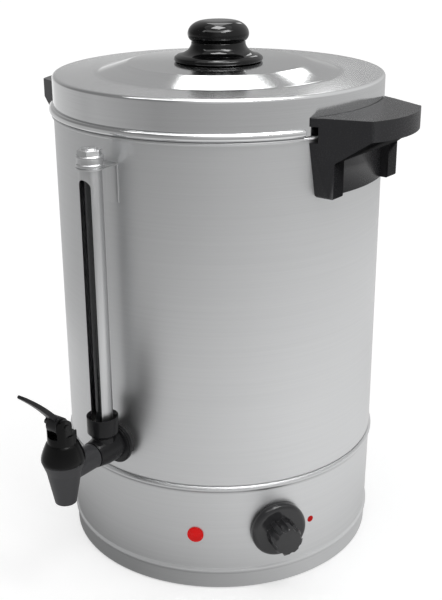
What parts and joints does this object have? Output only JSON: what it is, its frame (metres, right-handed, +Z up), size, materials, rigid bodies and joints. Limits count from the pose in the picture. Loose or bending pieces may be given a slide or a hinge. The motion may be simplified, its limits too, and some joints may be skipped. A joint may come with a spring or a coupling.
{
  "type": "hot water urn",
  "caption": "Electric hot water urn: round steel tank on a heated base, lift-off lid, side handles, sight gauge, lever tap, thermostat knob and lamp.",
  "frame": {"origin": "on the table under the axis of the tank, in the plane of the four feet", "axes": "+Z up along the axis of the tank, -Y towards the tap and the sight gauge, +X towards the handle on the control knob's side"},
  "size_m": [0.388, 0.4256, 0.4966],
  "materials": {
    "body_steel": "fine circumferential brushing, half matt",
    "lid_steel": "satin, spun",
    "inner_steel": "plain rolled sheet",
    "gauge_steel": "polished",
    "fastener_steel": "bright plated",
    "spring_steel": "drawn wire",
    "element_steel": "dull sheath",
    "copper": "bare copper, satin",
    "brass": "turned, satin",
    "tap_plastic": "moulded, half gloss",
    "handle_plastic": "moulded, satin",
    "knob_plastic": "moulded, gloss",
    "fitting_plastic": "moulded, matt",
    "ceramic": "steatite, matt",
    "lamp_red": "clear red, gloss",
    "rubber": "matt",
    "silicone": "matt",
    "sight_glass": "clear"
  },
  "bodies": {
    "urn": {"tank_shell": "body_steel", "tank_floor": "inner_steel", "base_shell": "body_steel", "bottom_cover": "inner_steel", "feet": "rubber", "foot_screws": "fastener_steel", "foot_nuts": "fastener_steel", "heating_element": "element_steel", "element_seals": "silicone", "element_nuts": "brass", "thermostat_body": "ceramic", "thermostat_screws": "fastener_steel", "thermostat_bulb": "copper", "bulb_clip": "fastener_steel", "cutout": "fitting_plastic", "terminal_block": "ceramic", "earth_stud": "brass", "cord_gland": "fitting_plastic", "gland_nut": "fitting_plastic", "lamp_lens": "lamp_red", "lamp_nut": "fastener_steel", "gauge_tee": "tap_plastic", "tee_washer": "rubber", "tee_seal": "silicone", "tee_nut": "brass", "tap_body": "tap_plastic", "tap_bonnet": "tap_plastic", "lever_pin": "fastener_steel", "valve_spring": "spring_steel", "gauge_glass": "sight_glass", "gauge_guard": "gauge_steel", "gauge_seals": "silicone", "gauge_cap": "gauge_steel", "gauge_bracket": "gauge_steel", "handle_right": "handle_plastic", "handle_left": "handle_plastic", "handle_screws": "fastener_steel", "handle_seals": "silicone"},
    "control": {"thermostat_shaft": "fastener_steel", "control_knob": "knob_plastic"},
    "lever": {"tap_lever": "tap_plastic", "link_pin": "fastener_steel"},
    "valve": {"valve_stem": "fastener_steel", "valve_cup": "rubber"},
    "lid_lift": {"lid_knob": "knob_plastic", "knob_screw": "fastener_steel", "knob_washer": "fastener_steel"},
    "lid": {"lid_shell": "lid_steel"}
  },
  "joints": [
    {"name": "control_turn", "type": "hinge", "parent": "urn", "child": "control", "pos_m": [0.1258, -0.0817, 0.061], "axis": [0.8387, -0.5446, 0], "range_deg": [-270, 0]},
    {"name": "lever_press", "type": "hinge", "parent": "urn", "child": "lever", "pos_m": [0, -0.22738, 0.188], "axis": [1, 0, 0], "range_deg": [0, 35], "stiffness_Nm_per_rad": 0.3, "springref_deg": -17.19},
    {"name": "valve_lift", "type": "slide", "parent": "urn", "child": "valve", "axis": [0, 0, 1], "range_m": [0, 0.00301], "deforming": ["valve_spring"]},
    {"name": "lid_lift", "type": "slide", "parent": "urn", "child": "lid_lift", "axis": [0, 0, 1], "range_m": [0, 0.15]},
    {"name": "lid_turn", "type": "hinge", "parent": "lid_lift", "child": "lid", "pos_m": [0, 0, 0.46], "axis": [0, 0, 1], "range_deg": [-60, 60]}
  ],
  "couplings": [
    {"joint": "lever_press", "follows": "valve_lift", "rad_per_m": 203.14}
  ]
}
